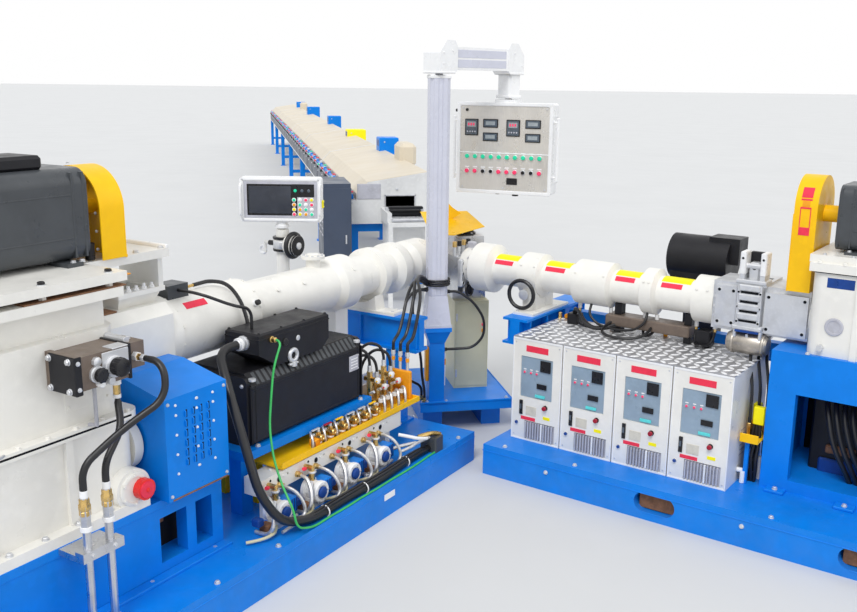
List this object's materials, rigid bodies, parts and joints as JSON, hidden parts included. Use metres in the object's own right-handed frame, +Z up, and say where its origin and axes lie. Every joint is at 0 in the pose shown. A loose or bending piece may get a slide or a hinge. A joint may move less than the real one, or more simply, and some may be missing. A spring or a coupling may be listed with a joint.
{
  "type": "rubber extrusion line",
  "caption": "Rubber co-extrusion line: left and right extruders in a V feeding one crosshead, swivelling control box, and a long hooded curing tunnel behind.",
  "frame": {"origin": "on the floor under the crosshead, where the two barrel axes cross", "axes": "+Z up, +Y along the curing tunnel away from the extruders, +X to the right seen from the extruders"},
  "size_m": [5.4849, 28.6773, 2.306],
  "materials": {
    "bare_steel": "machined",
    "belt_rubber": "matte",
    "brass_fittings": "dull",
    "brown_paint": "bare casting",
    "dark_blue": "satin",
    "earth_wire": "satin",
    "hood_beige": "semi-gloss enamel",
    "hose_rubber": "satin",
    "khaki_paint": "satin",
    "machine_blue": "gloss enamel",
    "machine_white": "semi-gloss enamel",
    "motor_black": "satin",
    "motor_grey": "satin",
    "pale_grey": "semi-gloss enamel",
    "red_paint": "gloss enamel",
    "safety_yellow": "gloss enamel"
  },
  "bodies": {
    "line": {"crosshead_body": "bare_steel", "crosshead_die": "bare_steel", "crosshead_guard": "safety_yellow", "head_cabinet": "khaki_paint", "head_cables": "hose_rubber", "head_platform": "machine_blue", "left_barrel": "machine_white", "left_barrel_foot": "machine_white", "left_barrel_pedestal": "machine_white", "left_base_frame": "machine_blue", "left_belt_cover": "machine_blue", "left_belt_guard": "safety_yellow", "left_cable_bundle": "hose_rubber", "left_cross_beam": "machine_blue", "left_drain_knob": "red_paint", "left_drip_tray": "safety_yellow", "left_drive_motor": "motor_black", "left_earth_wire": "earth_wire", "left_feed_section": "machine_white", "left_gearbox": "machine_white", "left_gearbox_stand": "machine_blue", "left_hoses": "hose_rubber", "left_hydraulic_block": "brown_paint", "left_junction_boxes": "motor_grey", "left_motor_plate": "machine_white", "left_motor_table": "machine_blue", "left_motor_terminal_box": "motor_black", "left_pumps": "pale_grey", "left_riser_pipes": "bare_steel", "left_upper_motor": "motor_grey", "left_valve_cluster": "brass_fittings", "left_valve_row": "brass_fittings", "left_water_manifold": "machine_white", "panel_post": "machine_white", "pendant_bracket": "machine_blue", "pendant_column": "machine_white", "right_barrel": "machine_white", "right_barrel_saddle": "machine_white", "right_base_frame": "machine_blue", "right_belt_guard": "safety_yellow", "right_cross_beam": "machine_blue", "right_feed_block": "bare_steel", "right_feed_tray": "bare_steel", "right_gearbox": "machine_white", "right_gearbox_stand": "machine_blue", "right_rear_motor": "motor_black", "right_upper_motor": "motor_grey", "temperature_unit_top_plate": "bare_steel", "temperature_units": "machine_white", "tunnel_belt": "belt_rubber", "tunnel_end_plates": "pale_grey", "tunnel_entry_guide": "motor_black", "tunnel_entry_table": "pale_grey", "tunnel_hoods": "hood_beige", "tunnel_legs": "machine_blue", "tunnel_side_cabinet": "dark_blue", "tunnel_trough": "dark_blue"},
    "pendant_arm": {"pendant_arm": "machine_white"},
    "control_box": {"control_box": "machine_white"},
    "operator_panel": {"operator_panel": "machine_white"}
  },
  "joints": [
    {"name": "pendant_swivel", "type": "hinge", "parent": "line", "child": "pendant_arm", "pos_m": [0, -0.405, 2.125], "axis": [0, 0, 1], "range_deg": [-120, 40]},
    {"name": "control_box_swivel", "type": "hinge", "parent": "pendant_arm", "child": "control_box", "pos_m": [0.50542, -0.0511, 1.986], "axis": [0, 0, 1], "range_deg": [-90, 90]},
    {"name": "operator_panel_swivel", "type": "hinge", "parent": "line", "child": "operator_panel", "pos_m": [-0.88687, -0.33521, 1.258], "axis": [0, 0, 1], "range_deg": [-60, 60]}
  ]
}
